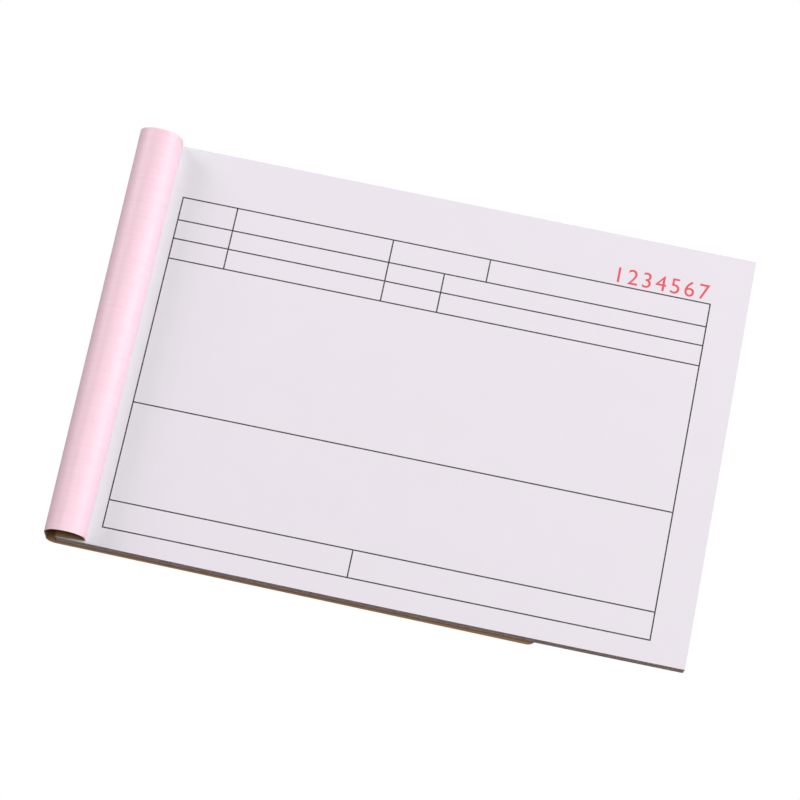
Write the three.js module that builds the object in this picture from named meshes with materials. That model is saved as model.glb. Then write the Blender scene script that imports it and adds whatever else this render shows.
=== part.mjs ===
// A side-bound book of three-part carbonless forms, open at its first form.
// Its front cover is folded back: it curls up and round the spine and lies under the pad.
// Millimetres. X runs from the spine to the free edge, Y up the page, Z up from the table.
// The origin is on the table, below the middle of the open book.

import * as THREE from "three";

// Leaves
const leafLength = 190;
const leafWidth = 130;
const sheetThickness = 0.0625;
const sheetsInSet = 3;
const setCount = 25;

// Cover card
const cardThickness = 0.3125;
const coverOverhang = 0.1;
const coverWidth = leafWidth + 2 * coverOverhang;
const frontPanelLength = 149.2;
const frontCornerRadius = 5.5;

// The folded-back cover sits a little askew: how far its middle is from the pad's middle
const askewAtCrease = 0.4;
const askewAtPanel = -0.7;

// Binding
const glueThickness = 0.1875;
const creaseFromSpine = 8.6;
const creaseLift = 0.1;
const stapleFromSpine = 4.5;
const stapleSpacing = 64;
const stapleLength = 12;
const wireThickness = 0.5;
const wireWidth = 0.5;
const clinchLength = 4;
const legClearance = 0.0625;

// The roll that the cover makes round the spine, seen from its end
const rollHeight = 15.9;
const rollTopRadius = 6.4;
const rollTopBends = 3;
const rollFootRadius = 3;
const rollFootBends = 1;
const bendGap = 0.1;

// Where a turned leaf bends up from the part that stays down
const leafFoldFromSpine = 24;
const leafFoldGap = 0.1;

// Levels from the table up
const coverTop = cardThickness;
const clinchTop = coverTop + wireThickness;
const backPanelTop = clinchTop + cardThickness;
const setThickness = sheetsInSet * sheetThickness;
const pageLevel = backPanelTop + setCount * setThickness;
const marginStripTop = pageLevel + cardThickness;
const crownTop = marginStripTop + wireThickness;
const creaseLevel = marginStripTop + creaseLift;

// Card outside the glued spine
const spineInner = -glueThickness;
const spineOuter = spineInner - cardThickness;

// The roll's inner face: a half round over the top, a flat left side and a quarter round at the foot
const topCentre = new THREE.Vector2(
  creaseFromSpine - rollTopRadius,
  rollHeight - cardThickness - rollTopRadius,
);
const rollLeftInner = topCentre.x - rollTopRadius;
const footCentre = new THREE.Vector2(rollLeftInner + rollFootRadius, coverTop + rollFootRadius);

// Middle of the open book's outline on the table
const outlineLeft = rollLeftInner - cardThickness;
const outlineNear = askewAtPanel - coverWidth / 2;
const outlineFar = askewAtCrease + coverWidth / 2;
const originX = (outlineLeft + leafLength) / 2;
const originY = (outlineNear + outlineFar) / 2;

const kraft = { color: 0x9a7448, roughness: 0.9, metalness: 0 };
const pinkCard = { color: 0xf2c6d6, roughness: 0.85, metalness: 0 };
const whitePaper = { color: 0xe8e1e9, roughness: 0.9, metalness: 0 };
const pinkPaper = { color: 0xf0c3cf, roughness: 0.9, metalness: 0 };
const yellowPaper = { color: 0xf1e39a, roughness: 0.9, metalness: 0 };
const steelWire = { color: 0xb9bcc0, roughness: 0.35, metalness: 1 };
const driedGlue = { color: 0xe9e2cf, roughness: 0.5, metalness: 0 };

const book = new THREE.Group();
book.position.set(-originX, -originY, 0);

function addPiece(name, geometry, finish) {
  const piece = new THREE.Mesh(geometry, new THREE.MeshStandardMaterial(finish));
  piece.name = name;
  book.add(piece);
  return piece;
}

// A rectangle on the page, from the near left corner
function rectangle(left, near, length, width) {
  const outline = new THREE.Shape();
  outline.moveTo(left, near);
  outline.lineTo(left + length, near);
  outline.lineTo(left + length, near + width);
  outline.lineTo(left, near + width);
  outline.closePath();
  return outline;
}

// A flat plate of a given outline, lying with its underside at a level
function plate(outline, level, thickness) {
  const geometry = new THREE.ExtrudeGeometry(outline, { depth: thickness, bevelEnabled: false });
  geometry.translate(0, 0, level);
  return geometry;
}

// Middles of the two staples along the spine
const stapleMiddles = [-stapleSpacing / 2, stapleSpacing / 2];

// Punches the four holes that the staples' legs go through
function punchForLegs(outline) {
  const holeLength = wireWidth + 2 * legClearance;
  const holeWidth = wireThickness + 2 * legClearance;
  const left = stapleFromSpine - holeLength / 2;
  for (const middle of stapleMiddles) {
    const nearLeg = middle - stapleLength / 2 - legClearance;
    const farLeg = middle + stapleLength / 2 - wireThickness - legClearance;
    for (const near of [nearLeg, farLeg]) {
      const hole = new THREE.Path();
      hole.moveTo(left, near);
      hole.lineTo(left, near + holeWidth);
      hole.lineTo(left + holeLength, near + holeWidth);
      hole.lineTo(left + holeLength, near);
      hole.closePath();
      outline.holes.push(hole);
    }
  }
  return outline;
}

// The pad: every set below the two that turn, from the last form up
const setsLeftWhole = setCount - 2;
for (let fromBottom = 0; fromBottom < setsLeftWhole; fromBottom += 1) {
  const number = String(setCount - fromBottom).padStart(2, "0");
  const outline = punchForLegs(rectangle(0, -leafWidth / 2, leafLength, leafWidth));
  const level = backPanelTop + fromBottom * setThickness;
  addPiece(`set_${number}`, plate(outline, level, setThickness), whitePaper);
}

// The second set's two copies stay down under its white sheet
const copiesThickness = (sheetsInSet - 1) * sheetThickness;
const secondSetLevel = backPanelTop + setsLeftWhole * setThickness;
const copiesOutline = punchForLegs(rectangle(0, -leafWidth / 2, leafLength, leafWidth));
addPiece("set_02_copies", plate(copiesOutline, secondSetLevel, copiesThickness), yellowPaper);

// A sheet that turns: its bound margin stays in the binding, and its leaf lifts at the fold
function addTurningSheet(name, level, finish) {
  const marginLength = leafFoldFromSpine - leafFoldGap;
  const margin = punchForLegs(rectangle(0, -leafWidth / 2, marginLength, leafWidth));
  addPiece(`${name}_margin`, plate(margin, level, sheetThickness), finish);
  const leafReach = leafLength - leafFoldFromSpine;
  const leaf = rectangle(leafFoldFromSpine, -leafWidth / 2, leafReach, leafWidth);
  addPiece(`${name}_leaf`, plate(leaf, level, sheetThickness), finish);
}

const secondWhiteLevel = secondSetLevel + copiesThickness;
addTurningSheet("set_02_white", secondWhiteLevel, whitePaper);
addTurningSheet("set_01_yellow", secondWhiteLevel + sheetThickness, yellowPaper);
addTurningSheet("set_01_pink", secondWhiteLevel + 2 * sheetThickness, pinkPaper);
addTurningSheet("set_01_white", secondWhiteLevel + 3 * sheetThickness, whitePaper);

// Glue on the sheets' bound edges
const padThickness = pageLevel - backPanelTop;
const glueLine = rectangle(spineInner, -leafWidth / 2, glueThickness, leafWidth);
addPiece("spine_glue", plate(glueLine, backPanelTop, padThickness), driedGlue);

// The cover's fixed part: one card that wraps the back, the spine and the binding margin
const backOutline = rectangle(spineOuter, -leafWidth / 2, leafLength - spineOuter, leafWidth);
addPiece("cover_back", plate(punchForLegs(backOutline), clinchTop, cardThickness), kraft);

const spineOutline = rectangle(spineOuter, -leafWidth / 2, cardThickness, leafWidth);
addPiece("cover_spine", plate(spineOutline, backPanelTop, padThickness), kraft);

const stripLength = creaseFromSpine - bendGap / 2 - spineOuter;
const stripOutline = rectangle(spineOuter, -leafWidth / 2, stripLength, leafWidth);
addPiece("cover_margin_strip", plate(punchForLegs(stripOutline), pageLevel, cardThickness), kraft);

// Staples: a flat crown on the margin strip, two legs, and points clinched inwards below
function stapleGeometry() {
  const half = stapleLength / 2;
  const innerHalf = half - wireThickness;
  const pointHalf = half - clinchLength;
  const outline = new THREE.Shape();
  outline.moveTo(-half, coverTop);
  outline.lineTo(-pointHalf, coverTop);
  outline.lineTo(-pointHalf, clinchTop);
  outline.lineTo(-innerHalf, clinchTop);
  outline.lineTo(-innerHalf, marginStripTop);
  outline.lineTo(innerHalf, marginStripTop);
  outline.lineTo(innerHalf, clinchTop);
  outline.lineTo(pointHalf, clinchTop);
  outline.lineTo(pointHalf, coverTop);
  outline.lineTo(half, coverTop);
  outline.lineTo(half, crownTop);
  outline.lineTo(-half, crownTop);
  outline.closePath();
  const geometry = new THREE.ExtrudeGeometry(outline, { depth: wireWidth, bevelEnabled: false });
  geometry.translate(0, 0, -wireWidth / 2);
  geometry.rotateX(Math.PI / 2);
  geometry.rotateZ(Math.PI / 2);
  return geometry;
}

stapleMiddles.forEach((middle, index) => {
  const staple = addPiece(`staple_${index + 1}`, stapleGeometry(), steelWire);
  staple.position.set(stapleFromSpine, middle, 0);
});

// The bends of the roll on its inner face, from the crease round to the front panel.
// Each rounded stretch is a chain of flats that touch it from outside.
function bendsRound(centre, radius, startAngle, sweep, count) {
  const step = sweep / count;
  const bends = [];
  for (let bend = 0; bend < count; bend += 1) {
    const angle = startAngle + (bend + 0.5) * step;
    const reach = radius / Math.cos(step / 2);
    const x = centre.x + reach * Math.cos(angle);
    const z = centre.y + reach * Math.sin(angle);
    bends.push(new THREE.Vector2(x, z));
  }
  return bends;
}

const rollBends = [
  new THREE.Vector2(creaseFromSpine, creaseLevel),
  ...bendsRound(topCentre, rollTopRadius, 0, Math.PI, rollTopBends),
  ...bendsRound(footCentre, rollFootRadius, Math.PI, Math.PI / 2, rollFootBends),
];

// The strips between the bends. Each hangs on the one before at their inner edges.
const stripCount = rollBends.length - 1;
for (let index = 0; index < stripCount; index += 1) {
  const from = rollBends[index];
  const along = rollBends[index + 1].clone().sub(from);
  const length = along.length() - bendGap;
  const angle = along.angle();
  const middle = from.clone().addScaledVector(along, 0.5);
  const outwards = new THREE.Vector2(Math.sin(angle), -Math.cos(angle));
  middle.addScaledVector(outwards, cardThickness / 2);
  const share = (index + 0.5) / stripCount;
  const geometry = new THREE.BoxGeometry(length, coverWidth, cardThickness);
  const strip = addPiece(`cover_roll_${index + 1}`, geometry, pinkCard);
  strip.rotation.y = -angle;
  strip.position.set(middle.x, THREE.MathUtils.lerp(askewAtCrease, askewAtPanel, share), middle.y);
}

// The front panel, face down on the table under the pad, with its free corners rounded
function frontPanelOutline() {
  const left = rollBends[stripCount].x + bendGap / 2;
  const right = rollBends[stripCount].x + frontPanelLength;
  const near = askewAtPanel - coverWidth / 2;
  const far = askewAtPanel + coverWidth / 2;
  const outline = new THREE.Shape();
  outline.moveTo(left, near);
  outline.lineTo(right - frontCornerRadius, near);
  outline.absarc(right - frontCornerRadius, near + frontCornerRadius, frontCornerRadius, -Math.PI / 2, 0);
  outline.lineTo(right, far - frontCornerRadius);
  outline.absarc(right - frontCornerRadius, far - frontCornerRadius, frontCornerRadius, 0, Math.PI / 2);
  outline.lineTo(left, far);
  outline.closePath();
  return outline;
}

addPiece("cover_front", plate(frontPanelOutline(), 0, cardThickness), kraft);

export default book;
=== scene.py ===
import math
import random

import bmesh
import bpy
from mathutils import Matrix, Vector


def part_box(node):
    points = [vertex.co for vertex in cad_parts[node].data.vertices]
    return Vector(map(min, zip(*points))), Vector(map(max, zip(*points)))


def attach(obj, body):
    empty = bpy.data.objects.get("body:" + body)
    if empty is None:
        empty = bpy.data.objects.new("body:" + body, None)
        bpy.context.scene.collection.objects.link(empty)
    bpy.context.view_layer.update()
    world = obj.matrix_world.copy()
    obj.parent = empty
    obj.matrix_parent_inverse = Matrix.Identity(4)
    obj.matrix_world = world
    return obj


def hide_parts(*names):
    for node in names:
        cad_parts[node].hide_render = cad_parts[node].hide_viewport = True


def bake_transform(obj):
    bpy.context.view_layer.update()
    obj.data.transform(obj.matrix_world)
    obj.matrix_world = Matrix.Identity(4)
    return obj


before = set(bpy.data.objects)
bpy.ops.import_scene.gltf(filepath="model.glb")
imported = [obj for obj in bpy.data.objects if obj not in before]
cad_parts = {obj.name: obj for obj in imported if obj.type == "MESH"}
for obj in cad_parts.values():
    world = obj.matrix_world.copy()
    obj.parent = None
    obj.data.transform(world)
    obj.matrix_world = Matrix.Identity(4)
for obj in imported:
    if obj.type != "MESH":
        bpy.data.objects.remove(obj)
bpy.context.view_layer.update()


# Studio: the book lies on a pale floor that the camera sees as plain white, in a dim white surround. The
# shader helpers stand here because the floor is the first thing that needs them.
class Value:
    """A shader socket with arithmetic: every operator adds Math nodes to its tree."""

    def __init__(self, tree, socket):
        self.tree = tree
        self.socket = socket

    def math(self, operation, *others):
        node = self.tree.nodes.new("ShaderNodeMath")
        node.operation = operation
        for place_in, value in zip(node.inputs, (self, *others)):
            if isinstance(value, Value):
                self.tree.links.new(value.socket, place_in)
            else:
                place_in.default_value = value
        return Value(self.tree, node.outputs[0])

    def __add__(self, other):
        return self.math("ADD", other)

    def __sub__(self, other):
        return self.math("SUBTRACT", other)

    def __mul__(self, other):
        return self.math("MULTIPLY", other)

    def __rsub__(self, other):
        return (self * -1) + other

    __radd__ = __add__
    __rmul__ = __mul__

    def clipped(self):
        """The same value, held between 0 and 1."""
        return self.math("MAXIMUM", 0.0).math("MINIMUM", 1.0)


class Shader:
    """A material's node tree, with one method that adds any node by its type, settings and inputs."""

    def __init__(self, name, roughness=0.6, specular=0.3):
        self.material = bpy.data.materials.new(name)
        self.material.use_nodes = True
        self.tree = self.material.node_tree
        self.surface = self.tree.nodes["Principled BSDF"]
        self.surface.inputs["Roughness"].default_value = roughness
        self.surface.inputs["Specular IOR Level"].default_value = specular

    def node(self, kind, settings=None, **inputs):
        node = self.tree.nodes.new("ShaderNode" + kind)
        for key, value in (settings or {}).items():
            setattr(node, key, value)
        for key, value in inputs.items():
            self.feed(node.inputs[key.replace("_", " ")], value)
        return node

    def feed(self, socket, value):
        if isinstance(value, Value):
            value = value.socket
        if isinstance(value, bpy.types.NodeSocket):
            self.tree.links.new(value, socket)
        else:
            socket.default_value = value

    def value(self, socket):
        return Value(self.tree, socket)

    def colour(self, value):
        self.feed(self.surface.inputs["Base Color"], value)

    def object_place(self):
        return self.node("TexCoord").outputs["Object"]

    def mapped(self, uv_name):
        return self.node("UVMap", {"uv_map": uv_name}).outputs[0]

    def stretched(self, vector, scales):
        """A place scaled along each axis, so that a noise read there comes out as streaks."""
        node = self.node("VectorMath", {"operation": "MULTIPLY"})
        self.feed(node.inputs[0], vector)
        self.feed(node.inputs[1], scales)
        return node.outputs[0]

    def mix(self, factor, first, second, blend="MIX"):
        node = self.node("Mix", {"data_type": "RGBA", "blend_type": blend})
        self.feed(node.inputs[0], factor)
        self.feed(node.inputs[6], first)
        self.feed(node.inputs[7], second)
        return node.outputs[2]

    def noise(self, vector, scale, detail=2.0):
        return self.value(self.node("TexNoise", Vector=vector, Scale=scale, Detail=detail).outputs["Fac"])

    def bump(self, height, distance, strength=1.0):
        node = self.node("Bump", Height=height, Distance=distance, Strength=strength)
        self.feed(self.surface.inputs["Normal"], node.outputs[0])


def srgb(red, green, blue):
    """A colour as seen on a screen, 0 to 255, in linear light by the sRGB curve."""
    levels = (red, green, blue)
    return tuple(((c / 255 + 0.055) / 1.055) ** 2.4 if c > 10 else c / 3294.6 for c in levels) + (1.0,)


bpy.context.scene.view_settings.view_transform = "Standard"
floor_reach = 3
floor_gap = 0.00005
floor_grey = (0.30, 0.30, 0.30, 1)
plain_white_light = (1, 1, 1, 1)
surround_strength = 0.13

ground = Shader("floor")
seen = ground.node("LightPath")
bare_white = ground.node("Emission", Color=plain_white_light, Strength=1.0)
pale_floor = ground.node("BsdfDiffuse", Color=floor_grey)
either = ground.node("MixShader")
ground.feed(either.inputs[0], seen.outputs["Is Camera Ray"])
ground.feed(either.inputs[1], pale_floor.outputs[0])
ground.feed(either.inputs[2], bare_white.outputs[0])
ground.feed(ground.tree.nodes["Material Output"].inputs["Surface"], either.outputs[0])

floor_mesh = bpy.data.meshes.new("floor")
bm = bmesh.new()
bmesh.ops.create_grid(bm, x_segments=1, y_segments=1, size=floor_reach)
bmesh.ops.translate(bm, verts=bm.verts, vec=(0, 0, -floor_gap))
bm.to_mesh(floor_mesh)
bm.free()
floor = bpy.data.objects.new("floor", floor_mesh)
floor_mesh.materials.append(ground.material)
bpy.context.scene.collection.objects.link(floor)

world = bpy.data.worlds.new("surround")
bpy.context.scene.world = world
world.use_nodes = True
world_tree = world.node_tree
backdrop = world_tree.nodes["Background"]
backdrop.inputs["Color"].default_value = plain_white_light
ray = world_tree.nodes.new("ShaderNodeLightPath")
dimmed = Value(world_tree, ray.outputs["Is Camera Ray"]) * (1 - surround_strength) + surround_strength
world_tree.links.new(dimmed.socket, backdrop.inputs["Strength"])

# A wide key lamp low on the right and a weaker one on the left, both beyond the book, so that the pad's
# near edge stays in shadow. The one above hangs a little towards the camera and lights the cover's rim
# below that edge. Each has its place, its width and its power.
lamps = (
    ("key_lamp", (1.46, 0.68, 0.62), 1.9, 38.0),
    ("left_lamp", (-1.28, 0.80, 0.67), 0.8, 12.0),
    ("top_lamp", (0.08, -0.14, 1.80), 0.5, 12.1),
)
for name, where, width, power in lamps:
    lamp_data = bpy.data.lights.new(name, "AREA")
    lamp_data.size = width
    lamp_data.energy = power
    lamp = bpy.data.objects.new(name, lamp_data)
    lamp.location = where
    lamp.rotation_euler = (-Vector(where)).to_track_quat("-Z", "Y").to_euler()
    bpy.context.scene.collection.objects.link(lamp)

# Camera: nearly above the book, a little towards its near side, turned so that the book runs down to the
# right. Its place and its turn, in degrees, are those that fit the page in the photograph.
camera_place = (0.0216057, -0.2277779, 0.7585477)
camera_turn = (16.73387, -1.73819, 11.56607)
camera_data = bpy.data.cameras.new("camera")
camera_data.lens = 117
camera_data.sensor_width = 36
camera_data.clip_end = 20
camera = bpy.data.objects.new("camera", camera_data)
camera.location = camera_place
camera.rotation_euler = tuple(math.radians(angle) for angle in camera_turn)
bpy.context.scene.collection.objects.link(camera)
bpy.context.scene.camera = camera

# Paper: smooth uncoated carbonless sheets, with a faint cloudiness and fibre grain. The sheets that can
# be uncovered are printed with the same ruled form. Page distances are millimetres from the pad's spine
# edge, its near edge and the table, and the UV map "page" holds them divided by page_unit.
pad_low, pad_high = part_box("set_25")
spine_x, near_y = pad_low.x, pad_low.y
leaf_length = (pad_high.x - pad_low.x) * 1000
leaf_width = (pad_high.y - pad_low.y) * 1000
page_middle = leaf_width / 2
page_unit = 100.0


def place(x, y, z):
    """A point given in page millimetres, z from the table, as a point of the row frame."""
    return Vector((spine_x + x / 1000, near_y + y / 1000, z / 1000))


rule_width = 0.42
frame_left, frame_right, frame_near, frame_far = 12.75, 178.35, 6.4, 113.5
row_levels = (106.0, 99.8, 93.2, 46.1, 15.0)
field_end, second_name, third_name, head_name, foot_name = 30.0, 79.1, 96.6, 109.6, 87.0
rule_ink = srgb(46, 40, 40)
cloud_tint = 0.955
# Painted shade beside the binding: where it is darkest and where it fades out, in page millimetres, and its
# tint.
shade_darkest_at, shade_fades_at = 9.0, 24.0
painted_shade_tint = (0.88, 0.985, 0.94, 1)
paper_relief = 0.00002


def printed_rules():
    """The form's ruling as (along x or y, level, from, to)."""
    first, third, last = row_levels[0], row_levels[2], row_levels[-1]
    rules = [("x", level, frame_left, frame_right) for level in (frame_near, frame_far, *row_levels)]
    rules += [("y", side, frame_near, frame_far) for side in (frame_left, frame_right)]
    rules += [("y", field_end, third, frame_far), ("y", second_name, third, frame_far)]
    rules += [("y", head_name, first, frame_far), ("y", third_name, third, first)]
    rules += [("y", foot_name, frame_near, last)]
    return rules


def paper(name, tone, printed=False):
    """A paper of one tone. A printed one has the ruling, and painted shade beside the binding, under the
    roll.
    """
    sheet = Shader(name, roughness=0.75)
    uv = sheet.mapped("page")
    cloud = sheet.noise(uv, 9.0, 3.0)
    grain = sheet.noise(uv, 260.0, 3.0)
    shade = tuple(c * cloud_tint for c in tone[:3]) + (1.0,)
    colour = sheet.mix(cloud * 0.55 + grain * 0.35, tone, shade)
    if printed:
        split = sheet.node("SeparateXYZ", Vector=uv)
        x = sheet.value(split.outputs[0]) * page_unit
        y = sheet.value(split.outputs[1]) * page_unit
        half = rule_width / 2
        ruled = None
        for along, level, start, end in printed_rules():
            run, across = (x, y) if along == "x" else (y, x)
            inside = across.math("COMPARE", level, half)
            reach = run.math("COMPARE", (start + end) / 2, (end - start) / 2 + half)
            rule = inside * reach
            ruled = rule if ruled is None else ruled.math("MAXIMUM", rule)
        wear = sheet.noise(uv, 120.0, 2.0) * 0.35 + 0.78
        colour = sheet.mix(ruled * wear.math("MINIMUM", 1.0), colour, rule_ink)
        # Painted shade: the printed page is tinted darker towards the binding, beside the cover's roll.
        painted_roll_shade = ((shade_fades_at - x) * (1 / (shade_fades_at - shade_darkest_at))).clipped()
        colour = sheet.mix(painted_roll_shade, colour, painted_shade_tint, blend="MULTIPLY")
    sheet.colour(colour)
    sheet.bump(grain * 0.6 + cloud * 0.4, paper_relief, 0.5)
    return sheet.material


white_tone, pink_tone, yellow_tone = srgb(236, 229, 237), srgb(242, 196, 210), srgb(245, 232, 168)
white_form = paper("white_form", white_tone, printed=True)
pink_form = paper("pink_form", pink_tone, printed=True)
yellow_form = paper("yellow_form", yellow_tone, printed=True)
plain_white = paper("white_sheet", white_tone)
plain_pink = paper("pink_sheet", pink_tone)
plain_yellow = paper("yellow_sheet", yellow_tone)

# The sheets' trimmed edges: painted shade makes them much darker than their faces, as in the gaps of a
# stack, with fine streaks along the cut, and painted light makes them lighter low down in the stack, where
# the kraft cover shines up. The three shares darken each tone's red, green and blue.
shaded_edge_shares, glowing_edge_shares = (0.21, 0.155, 0.27), (0.72, 0.58, 0.58)
glow_top, glow_depth = 0.0042, 0.0018
yellow_edge_tone = srgb(232, 220, 206)
edge_relief = 0.00003


def cut_edge(name, tone):
    """The trimmed edge of a sheet in the stack, with painted shade and, low down, painted light from the
    kraft cover.
    """
    edge = Shader(name, roughness=0.9)
    where = edge.object_place()
    streak = edge.noise(edge.stretched(where, (1.0, 1.0, 14.0)), 900.0, 3.0)
    height = edge.value(edge.node("SeparateXYZ", Vector=where).outputs[2])
    # Painted light: the edge is lighter low down in the stack, as if lit from the kraft cover.
    painted_glow_mask = ((glow_top - height) * (1 / glow_depth)).clipped()
    # Painted shade: the edge colour is a much darker share of the sheet's tone.
    dark = tuple(c * share for c, share in zip(tone, shaded_edge_shares)) + (1.0,)
    light = tuple(c * share for c, share in zip(tone, glowing_edge_shares)) + (1.0,)
    edge.colour(edge.mix(painted_glow_mask * 0.8 + streak * 0.4 - 0.12, dark, light))
    edge.bump(streak, edge_relief, 0.6)
    return edge.material


white_edge = cut_edge("white_sheet_edge", white_tone)
pink_edge = cut_edge("pink_sheet_edge", pink_tone)
yellow_edge = cut_edge("yellow_sheet_edge", yellow_edge_tone)

# The sets that stay down: three loose sheets each (white, pink, yellow from the top), held by staples and
# glue at the spine. Each sheet lies a few hundredths of a millimetre off the next, as a trimmed stack
# does, and the guillotine has left the pad's near edge a little bowed.
bow_offset, bow_slope, bow_bend = 0.60, 0.0115, 0.0000375
slack = 0.06
paper_share = 0.97
stack_columns = 24
first_low_set, last_set = 3, 25


def near_edge(x):
    """Where the near edge lies across the page: bowed, and at most 0.6 mm off a straight one."""
    return bow_offset - bow_slope * x + bow_bend * x * x


def sheet_mesh(name, left, right, bottom, top, materials, columns, shift=(0.0, 0.0)):
    """A sheet between two levels, bowed at its near edge. The materials are for its face, edge and back."""
    bm = bmesh.new()
    bmesh.ops.create_grid(bm, x_segments=columns, y_segments=2, size=0.5)
    for v in bm.verts:
        share = v.co.x + 0.5
        x = left + (right - left) * share
        near = near_edge(x) + shift[1]
        far = leaf_width + shift[1]
        v.co = (x + shift[0] * share, near + (far - near) * (v.co.y + 0.5), bottom)
    raised = bmesh.ops.extrude_face_region(bm, geom=bm.faces[:])
    moved = [g for g in raised["geom"] if isinstance(g, bmesh.types.BMVert)]
    bmesh.ops.translate(bm, verts=moved, vec=(0, 0, top - bottom))
    bmesh.ops.recalc_face_normals(bm, faces=bm.faces)
    uv = bm.loops.layers.uv.new("page")
    for face in bm.faces:
        face.material_index = 1 if abs(face.normal.z) < 0.5 else (0 if face.normal.z > 0 else 2)
        for loop in face.loops:
            loop[uv].uv = (loop.vert.co.x / page_unit, loop.vert.co.y / page_unit)
    for v in bm.verts:
        v.co = place(*v.co)
    mesh = bpy.data.meshes.new(name)
    bm.to_mesh(mesh)
    bm.free()
    for material in materials:
        mesh.materials.append(material)
    piece = bpy.data.objects.new(name, mesh)
    bpy.context.scene.collection.objects.link(piece)
    return piece


jog = random.Random(4)
low_set_finishes = (
    (plain_yellow, yellow_edge, plain_yellow),
    (plain_pink, pink_edge, plain_pink),
    (white_form, white_edge, plain_white),
)
for number in range(first_low_set, last_set + 1):
    set_name = f"set_{number:02d}"
    low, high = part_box(set_name)
    pitch = (high.z - low.z) * 1000 / len(low_set_finishes)
    for layer, finishes in enumerate(low_set_finishes):
        bottom = low.z * 1000 + layer * pitch
        top = bottom + pitch * paper_share
        name = f"{set_name}_{layer}"
        shift = (jog.uniform(-slack, slack), jog.uniform(-slack, slack))
        sheet = sheet_mesh(name, 0, leaf_length, bottom, top, finishes, stack_columns, shift)
        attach(sheet, "pad")
        if layer == 0:
            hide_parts(set_name)

# The second set's yellow and pink copies, which stay down as well. The pink one lies on top, and is
# uncovered when the second set's white sheet turns, so it is printed.
low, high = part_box("set_02_copies")
copy_finishes = ((plain_yellow, yellow_edge, plain_yellow), (pink_form, pink_edge, plain_pink))
pitch = (high.z - low.z) * 1000 / len(copy_finishes)
for layer, finishes in enumerate(copy_finishes):
    bottom = low.z * 1000 + layer * pitch
    top = bottom + pitch * paper_share
    copy = sheet_mesh(f"set_02_copy_{layer}", 0, leaf_length, bottom, top, finishes, stack_columns)
    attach(copy, "pad")
    if layer == 0:
        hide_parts("set_02_copies")

# The four sheets that turn. Each has its bound margin in the pad and a flat leaf beyond the fold, baked in
# place, and is printed on its face only.
turning = (
    ("set_02_white", "pad", (white_form, white_edge, plain_white), "white_paper"),
    ("set_01_yellow", "set_02_white_leaf", (yellow_form, yellow_edge, plain_yellow), "yellow_paper"),
    ("set_01_pink", "set_01_yellow_leaf", (pink_form, pink_edge, plain_pink), "pink_paper"),
    ("set_01_white", "set_01_pink_leaf", (white_form, white_edge, plain_white), "white_paper"),
)
bend_length = 16.0
margin_columns = 6
for name, carrier, finishes, slot_name in turning:
    low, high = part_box(name + "_leaf")
    bottom, top = low.z * 1000, high.z * 1000
    fold = (low.x - spine_x) * 1000
    margin = sheet_mesh(name + "_bound_margin", 0, fold, bottom, top, finishes, margin_columns)
    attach(margin, "pad")
    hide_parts(name + "_margin")
    column_to_each_mm = round(leaf_length - fold)
    leaf = sheet_mesh(name + "_turning_leaf", fold, leaf_length, bottom, top, finishes, column_to_each_mm)
    bend_start = place(fold, page_middle, top)
    bend_end = place(fold + bend_length, page_middle, top)
    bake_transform(leaf)
    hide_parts(name + "_leaf")

# The number in the form's top right corner: plain red digits from a numbering machine, slightly uneven,
# on the four sheets that turn. It is the same all through the first set, and one more on the second.
digit_height, digit_pitch = 5.2, 4.42
font_size_per_height = 1.38
first_digit_x, digit_base_y, ink_lift = 147.0, 114.6, 0.012
numbers = (
    ("set_01_white", "1234567"),
    ("set_01_pink", "1234567"),
    ("set_01_yellow", "1234567"),
    ("set_02_white", "1234568"),
)
red_ink = Shader("red_ink", roughness=0.55)
patchy = red_ink.noise(red_ink.object_place(), 2500.0, 2.0)
red_ink.colour(red_ink.mix(patchy, srgb(232, 66, 84), srgb(241, 106, 116)))
for name, digits in numbers:
    paper_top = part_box(name + "_leaf")[1].z * 1000
    bm = bmesh.new()
    for index, digit in enumerate(digits):
        text = bpy.data.curves.new(name + "_digit", "FONT")
        text.body = digit
        text.align_x = "CENTER"
        text.size = digit_height * font_size_per_height
        text.resolution_u = 6
        glyph = bpy.data.objects.new(name + "_digit", text)
        bpy.context.scene.collection.objects.link(glyph)
        bpy.context.view_layer.update()
        shape = bpy.data.meshes.new_from_object(glyph)
        bpy.data.objects.remove(glyph)
        shape.transform(Matrix.Translation((first_digit_x + (index + 0.5) * digit_pitch, digit_base_y, 0)))
        bm.from_mesh(shape)
        bpy.data.meshes.remove(shape)
    for v in bm.verts:
        v.co = place(v.co.x, v.co.y, paper_top + ink_lift)
    mesh = bpy.data.meshes.new(name + "_number")
    bm.to_mesh(mesh)
    bm.free()
    mesh.materials.append(red_ink.material)
    number_print = bpy.data.objects.new(name + "_number", mesh)
    bpy.context.scene.collection.objects.link(number_print)
    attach(number_print, name + "_leaf")

# Cover card: one 0.3 mm card, brown kraft outside and pink inside, in one run from the back cover's free
# edge round the spine, over the binding margin, up at the crease, round the roll and under the pad. The
# UV map "card" holds the flat card's own distances, divided by page_unit.
card = 0.3125

pink_card = Shader("pink_card", roughness=0.5, specular=1.0)
uv = pink_card.mapped("card")
threads = pink_card.noise(pink_card.stretched(uv, (7.0, 95.0, 1.0)), 1.0, 4.0)
cross_threads = pink_card.noise(pink_card.stretched(uv, (260.0, 9.0, 1.0)), 1.0, 3.0)
laid = threads * 0.65 + cross_threads * 0.35
pink_card.colour(pink_card.mix((laid - 0.3) * 2.0, srgb(247, 211, 223), srgb(240, 198, 212)))
pink_card.bump(laid, 0.00003, 0.4)

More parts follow.
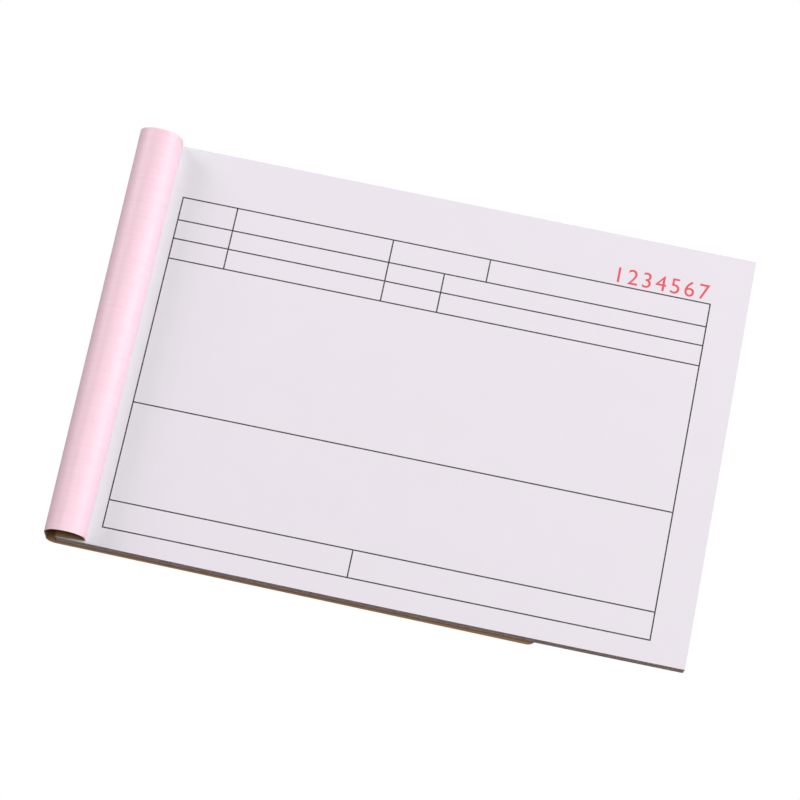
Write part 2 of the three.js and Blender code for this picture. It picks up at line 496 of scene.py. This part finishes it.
kraft = Shader("kraft_card", roughness=0.85)
uv = kraft.mapped("card")
fibres = kraft.noise(kraft.stretched(uv, (60.0, 420.0, 1.0)), 1.0, 5.0)
flecks = kraft.noise(uv, 300.0, 3.0)
cloud = kraft.noise(uv, 12.0, 3.0)
brown = kraft.mix(fibres * 0.6 + cloud * 0.4, srgb(196, 156, 112), srgb(168, 128, 88))
dark_fleck = (flecks - 0.60).math("MAXIMUM", 0.0) * 4.0
kraft.colour(kraft.mix(dark_fleck, brown, srgb(112, 82, 56)))
kraft.bump(fibres * 0.7 + flecks * 0.3, 0.00006, 0.6)


def layered_edge(name, one_layer, other_layer):
    """The card's cut edge, where the layers of its pulp show."""
    edge = Shader(name, roughness=0.9)
    layers = edge.noise(edge.object_place(), 3500.0, 3.0)
    edge.colour(edge.mix(layers, one_layer, other_layer))
    edge.bump(layers, 0.00003, 0.5)
    return edge


card_edge = layered_edge("card_cut_edge", srgb(228, 204, 196), srgb(240, 222, 216))
kraft_edge = layered_edge("kraft_cut_edge", srgb(126, 92, 62), srgb(164, 126, 90))

back_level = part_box("cover_back")[0].z * 1000
strip_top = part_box("cover_margin_strip")[1].z * 1000
spine_outer = (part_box("cover_spine")[0].x - spine_x) * 1000
crease_x, crease_radius, corner_radius = 8.6, 0.1, 0.5
top_radius, foot_radius = 6.4, 3.0
outer_height = 15.9
panel_tip_x = 146.76
top_centre_x = crease_x - top_radius
top_centre_z = outer_height - card - top_radius
left_x = crease_x - 2 * top_radius

# The card's kraft face as a path seen from the near end: stretches of (length, turn in degrees). The wrap
# is the fixed part up to the crease, and what follows it moves when the cover closes.
corner_length = corner_radius * math.pi / 2
crease_length = crease_radius * math.pi / 2
riser_length = top_centre_z - strip_top - crease_radius
top_length = top_radius * math.pi
side_length = top_centre_z - card - foot_radius
foot_length = foot_radius * math.pi / 2
panel_length = panel_tip_x - left_x - foot_radius
wrap_run = (
    (leaf_length - spine_outer - corner_radius, 0),
    (corner_length, -90),
    (strip_top - back_level - 2 * corner_radius, 0),
    (corner_length, -90),
    (crease_x - crease_radius - spine_outer - corner_radius, 0),
)
roll_run = (
    (crease_length, 90),
    (riser_length, 0),
    (top_length, 180),
    (side_length, 0),
    (foot_length, 90),
    (panel_length, 0),
)
wrap_length = sum(length for length, turn in wrap_run)


def card_point(s, height):
    """A point of the card at a distance s along it from the crease, and that far off its kraft face."""
    x, z, heading = leaf_length, back_level, math.pi
    left = s + wrap_length
    for length, turn in wrap_run + roll_run:
        part = min(left, length)
        angle = math.radians(turn)
        if turn:
            radius = length / angle
            x += radius * (math.sin(heading + angle * part / length) - math.sin(heading))
            z -= radius * (math.cos(heading + angle * part / length) - math.cos(heading))
            heading += angle * part / length
        else:
            x += part * math.cos(heading)
            z += part * math.sin(heading)
        left -= part
        if left <= 0:
            break
    return x + height * math.sin(heading), z - height * math.cos(heading)


# The cover was folded back by hand: its near and far edges stray from the pad's by up to 1.2 mm, and its
# roll is squeezed a little at the near end. The back cover is trimmed flush with the sheets. Each station
# is a distance along the card from the crease, and where the edge lies there across the page.
spine_at, strip_at = -13.6, -9.0
near_stations = (
    (spine_at, 0.60),
    (strip_at, 0.70),
    (0, 1.1),
    (0.3, 1.3),
    (8, 0.88),
    (14, 0.66),
    (25, 0.49),
    (33, -0.03),
    (181, -1.19),
)
far_stations = ((strip_at, 130.0), (3, 130.4), (14, 130.3), (25, 130.9), (33, 129.97), (181, 128.81))
squeeze = 0.19
card_rows = 6


def between(s, stations):
    """A value read off straight lines between stations, each a distance along the card and its value."""
    for (s0, value0), (s1, value1) in zip(stations, stations[1:]):
        if s <= s1:
            return value0 + (value1 - value0) * max(s - s0, 0) / (s1 - s0)
    return stations[-1][1]


def card_place(s, share, height):
    """The row-frame point of the card a distance s along it, at a share of its width from the near edge."""
    x, z = card_point(s, height)
    near = near_edge(x) if s < spine_at else between(s, near_stations)
    far = between(s, far_stations)
    if s > 0 and x < top_centre_x:
        x += (top_centre_x - x) * squeeze * (1 - share)
    return place(x, near + (far - near) * share, z)


def card_piece(name, start, end, columns, tip_radius=0.0, edge_finish=card_edge):
    """The card from start to end along its run, cut flat first and then bent to its path."""
    bm = bmesh.new()
    bmesh.ops.create_grid(bm, x_segments=columns, y_segments=card_rows, size=0.5)
    for v in bm.verts:
        v.co = (start + (end - start) * (v.co.x + 0.5), leaf_width * (v.co.y + 0.5), 0)
    if tip_radius:
        corners = [v for v in bm.verts if len(v.link_edges) == 2 and abs(v.co.x - end) < 1e-4]
        rounding = {"offset": tip_radius, "offset_type": "OFFSET", "affect": "VERTICES"}
        bmesh.ops.bevel(bm, geom=corners, segments=8, profile=0.5, material=-1, **rounding)
    raised = bmesh.ops.extrude_face_region(bm, geom=bm.faces[:])
    moved = [g for g in raised["geom"] if isinstance(g, bmesh.types.BMVert)]
    bmesh.ops.translate(bm, verts=moved, vec=(0, 0, card))
    bmesh.ops.recalc_face_normals(bm, faces=bm.faces)
    uv = bm.loops.layers.uv.new("card")
    for face in bm.faces:
        face.material_index = 2 if abs(face.normal.z) < 0.5 else (0 if face.normal.z > 0 else 1)
        face.smooth = abs(face.normal.z) > 0.5
        for loop in face.loops:
            loop[uv].uv = (loop.vert.co.x / page_unit, loop.vert.co.y / page_unit)
    for edge in bm.edges:
        edge.smooth = all(face.smooth for face in edge.link_faces)
    for v in bm.verts:
        v.co = card_place(v.co.x, v.co.y / leaf_width, v.co.z)
    bmesh.ops.reverse_faces(bm, faces=bm.faces)
    mesh = bpy.data.meshes.new(name)
    bm.to_mesh(mesh)
    bm.free()
    for finish in (pink_card, kraft, edge_finish):
        mesh.materials.append(finish.material)
    piece = bpy.data.objects.new(name, mesh)
    bpy.context.scene.collection.objects.link(piece)
    return piece


# The fixed part of the card: back cover, spine and the strip over the binding margin. It is creased
# square round the pad's spine, and its cut edges show the kraft.
wrap = card_piece("cover_wrap", -wrap_length, 0, columns=420, edge_finish=kraft_edge)
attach(wrap, "pad")
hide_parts("cover_back", "cover_spine", "cover_margin_strip")


# The crease, where the card turns up from the margin strip.
def blended_card(name, start, end, columns):
    """A round stretch of the card, built in place with its squeezed near end."""
    piece = card_piece(name, start, end, columns)
    (x0, z0), (x1, z1) = card_point(start, 0), card_point(end, 0)
    along = Vector((x1 - x0, 0, z1 - z0)).normalized()
    late, early = (max(top_centre_x - x, 0) * squeeze * along.x for x in (x0, x1))
    first = place(x0, page_middle, z0) + along * max(late, 0) / 1000
    last = place(x1, page_middle, z1) + along * min(early, 0) / 1000
    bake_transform(piece)
    return piece


blended_card("cover_crease", 0, crease_length, columns=8)

# The riser: the flat stretch of the card from the crease up to the start of the roll's round top. It
# doesn't bend, and stands upright beside the page.
top_start = crease_length + riser_length
riser = card_piece("cover_riser", crease_length, top_start, columns=4)
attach(riser, "cover_roll_1")
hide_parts("cover_roll_1")

# The round top of the roll: a half circle, where the card springs back. Each bend there has one stretch
# of the card, from the middle of one strip to the middle of the next.
top_bends = 3
step = top_length / top_bends
for bend in range(top_bends):
    start = top_start + bend * step
    body, next_body = f"cover_roll_{bend + 1}", f"cover_roll_{bend + 2}"
    arc = blended_card(f"cover_top_{bend + 1}", start, start + step, columns=20)
    if bend < top_bends - 1:
        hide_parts(next_body)

# The roll's left side: a flat stretch of the card that runs down beside the spine, from the round top to
# the foot.
side_body = f"cover_roll_{top_bends + 1}"
side_start = top_start + top_length
foot_start = side_start + side_length
side = card_piece("cover_side", side_start, foot_start, columns=6)
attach(side, side_body)
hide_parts(side_body)

# The foot of the roll, where the card turns under the pad with a small radius, pressed by the pad's
# weight. The front panel's own hinge is there.
panel_start = foot_start + foot_length
blended_card("cover_foot_1", foot_start, panel_start, columns=16)

# The front panel: the rest of the card, face down under the pad, kraft side up against the back cover,
# with its free corners rounded.
panel_end = panel_start + panel_length
panel = card_piece("front_panel", panel_start, panel_end, columns=40, tip_radius=5.5)
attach(panel, "cover_front")
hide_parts("cover_front")

# Padding glue: a thin cream film brushed over the sheets' bound edges, inside the spine. It follows the
# pad's near edge.
glue = Shader("padding_glue", roughness=0.35)
lumps = glue.noise(glue.object_place(), 700.0, 4.0)
glue.colour(glue.mix(lumps, srgb(233, 226, 207), srgb(205, 196, 172)))
glue.bump(lumps, 0.0001, 0.6)
low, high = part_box("spine_glue")
glue_thickness = (high.x - low.x) * 1000
glue_finishes = (glue.material,) * 3
glue_line = sheet_mesh("glue_line", -glue_thickness, 0, low.z * 1000, high.z * 1000, glue_finishes, 1)
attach(glue_line, "pad")
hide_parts("spine_glue")

# Two staples of drawn steel wire through the binding margin. Each is the CAD staple's own shape, with its
# sharp edges rounded to a wire's.
wire_rounding = 0.00011
wire = Shader("staple_wire")
scratches = wire.noise(wire.stretched(wire.object_place(), (9.0, 1.0, 9.0)), 900.0, 3.0)
wire.colour(wire.mix(scratches, srgb(200, 202, 205), srgb(160, 163, 168)))
wire.surface.inputs["Metallic"].default_value = 1.0
wire.feed(wire.surface.inputs["Roughness"], scratches * 0.25 + 0.2)
for index in (1, 2):
    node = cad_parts[f"staple_{index}"]
    bm = bmesh.new()
    bm.from_mesh(node.data)
    bmesh.ops.remove_doubles(bm, verts=bm.verts, dist=1e-6)
    bmesh.ops.dissolve_limit(bm, angle_limit=0.02, verts=bm.verts, edges=bm.edges)
    rounding = {"offset": wire_rounding, "affect": "EDGES"}
    bmesh.ops.bevel(bm, geom=bm.edges[:], segments=3, profile=0.5, material=-1, **rounding)
    mesh = bpy.data.meshes.new(f"rounded_staple_{index}")
    bm.to_mesh(mesh)
    bm.free()
    mesh.materials.append(wire.material)
    staple = bpy.data.objects.new(f"rounded_staple_{index}", mesh)
    bpy.context.scene.collection.objects.link(staple)
    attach(staple, "pad")
    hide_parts(f"staple_{index}")
